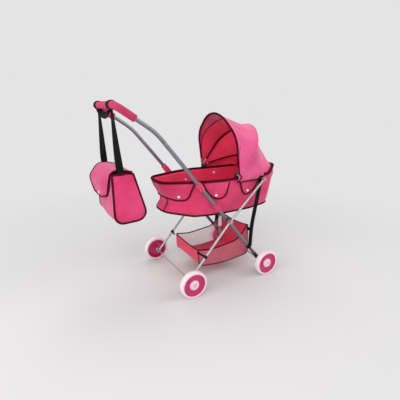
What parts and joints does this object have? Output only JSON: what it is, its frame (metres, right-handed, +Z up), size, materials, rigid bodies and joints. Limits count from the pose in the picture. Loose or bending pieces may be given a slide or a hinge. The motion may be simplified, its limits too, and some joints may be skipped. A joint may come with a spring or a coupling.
{
  "type": "doll pram",
  "caption": "Folding doll pram: crossed tube legs on wheels carry a soft cot with a folding hood, a net-sided basket, a padded push bar and a hanging flap bag.",
  "frame": {"origin": "middle of the overall box, on the floor under the wheels", "axes": "+X from the push bar to the hood end, +Y across to the side away from the camera, +Z up"},
  "size_m": [0.6174, 0.332, 0.6008],
  "materials": {
    "tube": "satin drawn tube",
    "foam": "fine closed-cell foam",
    "black_plastic": "moulded, matt",
    "steel": "bright zinc plate",
    "spacer": "moulded sleeve",
    "tyre_foam": "smooth white foam",
    "wheel_disc": "moulded, glossy",
    "wheel_cap": "moulded, glossy",
    "cot_fabric": "woven polyester",
    "hood_fabric": "woven polyester",
    "bag_fabric": "woven polyester",
    "binding": "folded binding tape",
    "webbing": "woven webbing",
    "net": "open net",
    "stud": "pearl press stud",
    "board": "flat stiffener"
  },
  "bodies": {
    "frame": {"base_board": "board", "basket_front_tabs": "webbing", "basket_rim_piping": "binding", "basket_tray": "cot_fabric", "cot_body": "cot_fabric", "cot_rim_binding": "binding", "cot_rim_wire": "steel", "far_basket_net": "net", "far_foot_flap": "cot_fabric", "far_head_flap": "cot_fabric", "far_middle_flap": "cot_fabric", "flap_studs": "stud", "foam_grip": "foam", "front_axle": "steel", "front_fittings": "black_plastic", "front_push_nuts": "steel", "front_spacers": "spacer", "handle_tube": "tube", "hanger_straps": "webbing", "hood_brackets": "black_plastic", "hood_rear_bow": "steel", "hood_rear_gore": "hood_fabric", "hood_rivets": "steel", "leg_sockets": "black_plastic", "lining_studs": "stud", "near_basket_net": "net", "near_foot_flap": "cot_fabric", "near_head_flap": "cot_fabric", "near_middle_flap": "cot_fabric", "pivot_rivets": "steel", "pivot_spacers": "black_plastic", "tube_loops": "cot_fabric"},
    "rear_legs": {"near_rear_leg": "steel", "far_rear_leg": "steel", "rear_axle": "steel", "rear_spacers": "spacer", "rear_push_nuts": "steel", "leg_top_rivets": "steel", "basket_rear_hooks": "webbing"},
    "front_near_wheel": {"front_near_tyre": "tyre_foam", "front_near_disc": "wheel_disc", "front_near_cap": "wheel_cap"},
    "front_far_wheel": {"front_far_tyre": "tyre_foam", "front_far_disc": "wheel_disc", "front_far_cap": "wheel_cap"},
    "rear_near_wheel": {"rear_near_tyre": "tyre_foam", "rear_near_disc": "wheel_disc", "rear_near_cap": "wheel_cap"},
    "rear_far_wheel": {"rear_far_tyre": "tyre_foam", "rear_far_disc": "wheel_disc", "rear_far_cap": "wheel_cap"},
    "hood_mid": {"hood_mid_bow": "steel"},
    "hood_front": {"hood_front_bow": "steel", "hood_front_gore": "hood_fabric"},
    "bag": {"bag_body": "bag_fabric", "near_bag_strap": "webbing", "far_bag_strap": "webbing", "bag_slack_strap": "webbing"},
    "bag_flap": {"bag_flap": "bag_fabric", "bag_press_stud": "stud"}
  },
  "joints": [
    {"name": "front_near_wheel_spin", "type": "hinge", "parent": "frame", "child": "front_near_wheel", "pos_m": [0.22483, -0.155, 0.045], "axis": [0, 1, 0], "continuous": true},
    {"name": "front_far_wheel_spin", "type": "hinge", "parent": "frame", "child": "front_far_wheel", "pos_m": [0.22483, 0.155, 0.045], "axis": [0, 1, 0], "continuous": true},
    {"name": "rear_near_wheel_spin", "type": "hinge", "parent": "rear_legs", "child": "rear_near_wheel", "pos_m": [-0.07317, -0.155, 0.045], "axis": [0, 1, 0], "continuous": true},
    {"name": "rear_far_wheel_spin", "type": "hinge", "parent": "rear_legs", "child": "rear_far_wheel", "pos_m": [-0.07317, 0.155, 0.045], "axis": [0, 1, 0], "continuous": true},
    {"name": "frame_fold", "type": "hinge", "parent": "frame", "child": "rear_legs", "pos_m": [0.08181, 0, 0.21973], "axis": [0, -1, 0], "range_deg": [0, 56]},
    {"name": "hood_fold", "type": "hinge", "parent": "frame", "child": "hood_mid", "pos_m": [0.11684, 0, 0.37], "axis": [0, 1, 0], "range_deg": [0, 30], "deforming": ["hood_rear_gore"]},
    {"name": "hood_front_fold", "type": "hinge", "parent": "hood_mid", "child": "hood_front", "pos_m": [0.11684, 0, 0.37], "axis": [0, 1, 0], "range_deg": [0, 36], "deforming": ["hood_front_gore"]},
    {"name": "bag_swing", "type": "hinge", "parent": "frame", "child": "bag", "pos_m": [-0.26823, 0, 0.588], "axis": [0, 1, 0], "range_deg": [-6, 25]},
    {"name": "bag_flap_lift", "type": "hinge", "parent": "bag", "child": "bag_flap", "pos_m": [-0.22523, 0, 0.40755], "axis": [0, 1, 0], "range_deg": [0, 120]}
  ],
  "couplings": [
    {"joint": "hood_front_fold", "follows": "hood_fold", "ratio": 1.2}
  ]
}
